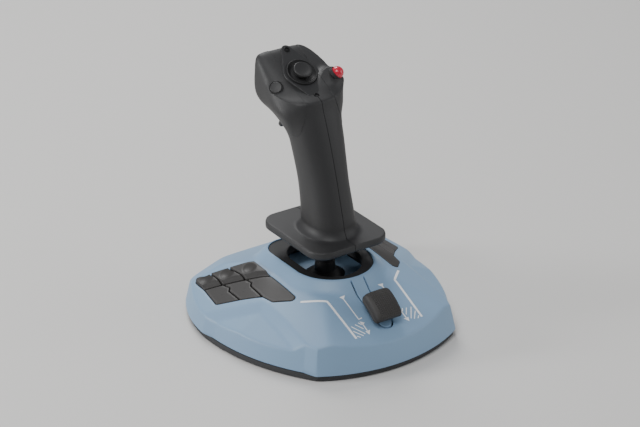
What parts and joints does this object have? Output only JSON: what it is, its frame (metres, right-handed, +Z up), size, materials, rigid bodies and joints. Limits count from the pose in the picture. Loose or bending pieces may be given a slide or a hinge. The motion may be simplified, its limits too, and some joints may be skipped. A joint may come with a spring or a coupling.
{
  "type": "flight joystick",
  "caption": "Desktop flight joystick: a tall leaning grip with hat, trigger and side buttons on a wide low base with two button banks and a throttle lever.",
  "frame": {"origin": "on the desk, at the middle of the base's plan", "axes": "+Z up, +Y away from the user, +X to the user's right"},
  "size_m": [0.222, 0.2109, 0.2309],
  "materials": {
    "shell_blue": "satin blue-grey moulded plastic, fine spark texture",
    "tray_dark": "matt charcoal moulded plastic",
    "grip_black": "matt soft-touch black plastic",
    "bezel_black": "semi-gloss black plastic",
    "button_grey": "matt dark warm grey plastic",
    "button_red": "glossy red plastic",
    "pad_rubber": "knurled dark rubber",
    "foot_rubber": "soft black rubber",
    "steel": "plated steel",
    "cast_alloy": "as-cast zinc-aluminium alloy",
    "inner_black": "black acetal",
    "bearing_white": "natural acetal",
    "board_green": "green circuit board laminate",
    "magnet": "nickel-plated magnet"
  },
  "bodies": {
    "base": {"base_top_shell": "shell_blue", "base_bottom_tray": "tray_dark", "rubber_feet": "foot_rubber", "base_screws": "steel", "stick_bezel": "bezel_black", "gimbal_cover": "shell_blue", "gimbal_housing": "cast_alloy", "gimbal_screws": "steel", "pivot_bushes": "bearing_white", "hall_sensor_board": "board_green", "main_circuit_board": "board_green", "cable_grommet": "foot_rubber", "throttle_axle": "steel", "throttle_bracket": "inner_black", "throttle_sensor": "inner_black", "left_switch_board": "board_green", "right_switch_board": "board_green", "board_stands": "tray_dark", "bank_switches": "inner_black", "pitch_spring": "steel"},
    "gimbal_yoke": {"pitch_yoke": "cast_alloy", "roll_pin": "steel", "roll_spring": "steel"},
    "stick": {"stick_shaft": "inner_black", "stick_magnet": "magnet", "dust_dome": "inner_black", "twist_cap": "inner_black"},
    "grip": {"grip_left_half": "grip_black", "grip_right_half": "grip_black", "grip_screws": "steel", "twist_bush": "bearing_white", "left_head_module": "grip_black", "right_head_module": "grip_black", "hat_plate": "bezel_black", "hat_screws": "inner_black", "hat_housing": "inner_black", "head_switches": "inner_black", "trigger_pin": "steel"},
    "hat_cradle": {"hat_cradle": "inner_black"},
    "hat": {"hat_cap": "grip_black"},
    "thumb_button": {"thumb_button": "grip_black"},
    "red_button": {"red_button": "button_red"},
    "trigger": {"trigger": "grip_black"},
    "throttle": {"throttle_lever": "inner_black", "throttle_pad": "pad_rubber"},
    "left_rear_button_1": {"left_rear_button_1": "button_grey"},
    "left_rear_button_2": {"left_rear_button_2": "button_grey"},
    "left_rear_button_3": {"left_rear_button_3": "button_grey"},
    "left_front_button_1": {"left_front_button_1": "button_grey"},
    "left_front_button_2": {"left_front_button_2": "button_grey"},
    "left_front_button_3": {"left_front_button_3": "button_grey"},
    "right_rear_button_1": {"right_rear_button_1": "button_grey"},
    "right_rear_button_2": {"right_rear_button_2": "button_grey"},
    "right_rear_button_3": {"right_rear_button_3": "button_grey"},
    "right_front_button_1": {"right_front_button_1": "button_grey"},
    "right_front_button_2": {"right_front_button_2": "button_grey"},
    "right_front_button_3": {"right_front_button_3": "button_grey"}
  },
  "joints": [
    {"name": "stick_pitch", "type": "hinge", "parent": "base", "child": "gimbal_yoke", "pos_m": [0, 0.0075, 0.025], "axis": [1, 0, 0], "range_deg": [-15, 15], "stiffness_Nm_per_rad": 3},
    {"name": "stick_roll", "type": "hinge", "parent": "gimbal_yoke", "child": "stick", "pos_m": [0, 0.0075, 0.025], "axis": [0, 1, 0], "range_deg": [-15, 15], "stiffness_Nm_per_rad": 3},
    {"name": "stick_twist", "type": "hinge", "parent": "stick", "child": "grip", "pos_m": [0, 0.0075, 0.1], "axis": [0, 0, 1], "range_deg": [-15, 15], "stiffness_Nm_per_rad": 0.6},
    {"name": "hat_rock_fore_aft", "type": "hinge", "parent": "grip", "child": "hat_cradle", "pos_m": [0, 0.04622, 0.20891], "axis": [1, 0, 0], "range_deg": [-7, 7], "stiffness_Nm_per_rad": 0.05},
    {"name": "hat_rock_sideways", "type": "hinge", "parent": "hat_cradle", "child": "hat", "pos_m": [0, 0.04622, 0.20891], "axis": [0, 0.8643, 0.503], "range_deg": [-7, 7], "stiffness_Nm_per_rad": 0.05},
    {"name": "thumb_button_press", "type": "slide", "parent": "grip", "child": "thumb_button", "axis": [0.5496, 0.4997, -0.6695], "range_m": [0, 0.0012], "stiffness_N_per_m": 800},
    {"name": "red_button_press", "type": "slide", "parent": "grip", "child": "red_button", "axis": [-0.5514, 0.4511, -0.7018], "range_m": [0, 0.0012], "stiffness_N_per_m": 800},
    {"name": "trigger_pull", "type": "hinge", "parent": "grip", "child": "trigger", "pos_m": [0, 0.055, 0.184], "axis": [-1, 0, 0], "range_deg": [0, 8], "stiffness_Nm_per_rad": 0.4},
    {"name": "throttle_lever", "type": "hinge", "parent": "base", "child": "throttle", "pos_m": [0, -0.0538, 0.0127], "axis": [1, 0, 0], "range_deg": [-22, 5]},
    {"name": "left_rear_button_1_press", "type": "slide", "parent": "base", "child": "left_rear_button_1", "axis": [0, 0, -1], "range_m": [0, 0.0012], "stiffness_N_per_m": 400},
    {"name": "left_rear_button_2_press", "type": "slide", "parent": "base", "child": "left_rear_button_2", "axis": [0, 0, -1], "range_m": [0, 0.0012], "stiffness_N_per_m": 400},
    {"name": "left_rear_button_3_press", "type": "slide", "parent": "base", "child": "left_rear_button_3", "axis": [0, 0, -1], "range_m": [0, 0.0012], "stiffness_N_per_m": 400},
    {"name": "left_front_button_1_press", "type": "slide", "parent": "base", "child": "left_front_button_1", "axis": [0, 0, -1], "range_m": [0, 0.0012], "stiffness_N_per_m": 400},
    {"name": "left_front_button_2_press", "type": "slide", "parent": "base", "child": "left_front_button_2", "axis": [0, 0, -1], "range_m": [0, 0.0012], "stiffness_N_per_m": 400},
    {"name": "left_front_button_3_press", "type": "slide", "parent": "base", "child": "left_front_button_3", "axis": [0, 0, -1], "range_m": [0, 0.0012], "stiffness_N_per_m": 400},
    {"name": "right_rear_button_1_press", "type": "slide", "parent": "base", "child": "right_rear_button_1", "axis": [0, 0, -1], "range_m": [0, 0.0012], "stiffness_N_per_m": 400},
    {"name": "right_rear_button_2_press", "type": "slide", "parent": "base", "child": "right_rear_button_2", "axis": [0, 0, -1], "range_m": [0, 0.0012], "stiffness_N_per_m": 400},
    {"name": "right_rear_button_3_press", "type": "slide", "parent": "base", "child": "right_rear_button_3", "axis": [0, 0, -1], "range_m": [0, 0.0012], "stiffness_N_per_m": 400},
    {"name": "right_front_button_1_press", "type": "slide", "parent": "base", "child": "right_front_button_1", "axis": [0, 0, -1], "range_m": [0, 0.0012], "stiffness_N_per_m": 400},
    {"name": "right_front_button_2_press", "type": "slide", "parent": "base", "child": "right_front_button_2", "axis": [0, 0, -1], "range_m": [0, 0.0012], "stiffness_N_per_m": 400},
    {"name": "right_front_button_3_press", "type": "slide", "parent": "base", "child": "right_front_button_3", "axis": [0, 0, -1], "range_m": [0, 0.0012], "stiffness_N_per_m": 400}
  ]
}
